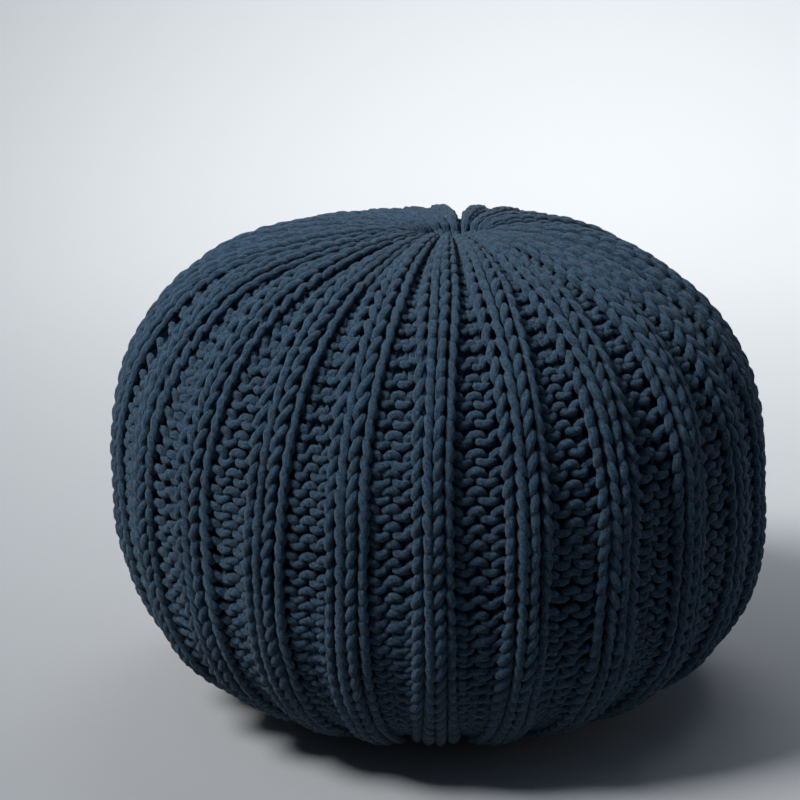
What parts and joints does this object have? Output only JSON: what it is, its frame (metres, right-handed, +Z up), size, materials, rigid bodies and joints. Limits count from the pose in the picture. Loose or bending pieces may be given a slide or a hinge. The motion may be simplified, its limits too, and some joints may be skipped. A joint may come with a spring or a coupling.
{
  "type": "knitted pouf ottoman",
  "caption": "Round filled pouf ottoman in a chunky ribbed knit, gathered to a small pit at the crown and resting on a flat foot, to sit on or to put the feet up.",
  "frame": {"origin": "middle of the footprint, on the surface that the pouf stands on", "axes": "+Z up through the gathered middle of the crown, -Y towards the side that the picture shows, +X to the right of that view"},
  "size_m": [0.4988, 0.5, 0.3741],
  "materials": {
    "cotton_yarn": "matte thick cotton yarn, hand knitted in a two-by-two rib, dark navy"
  },
  "bodies": {
    "root": {"knitted_body": "cotton_yarn"}
  },
  "joints": []
}
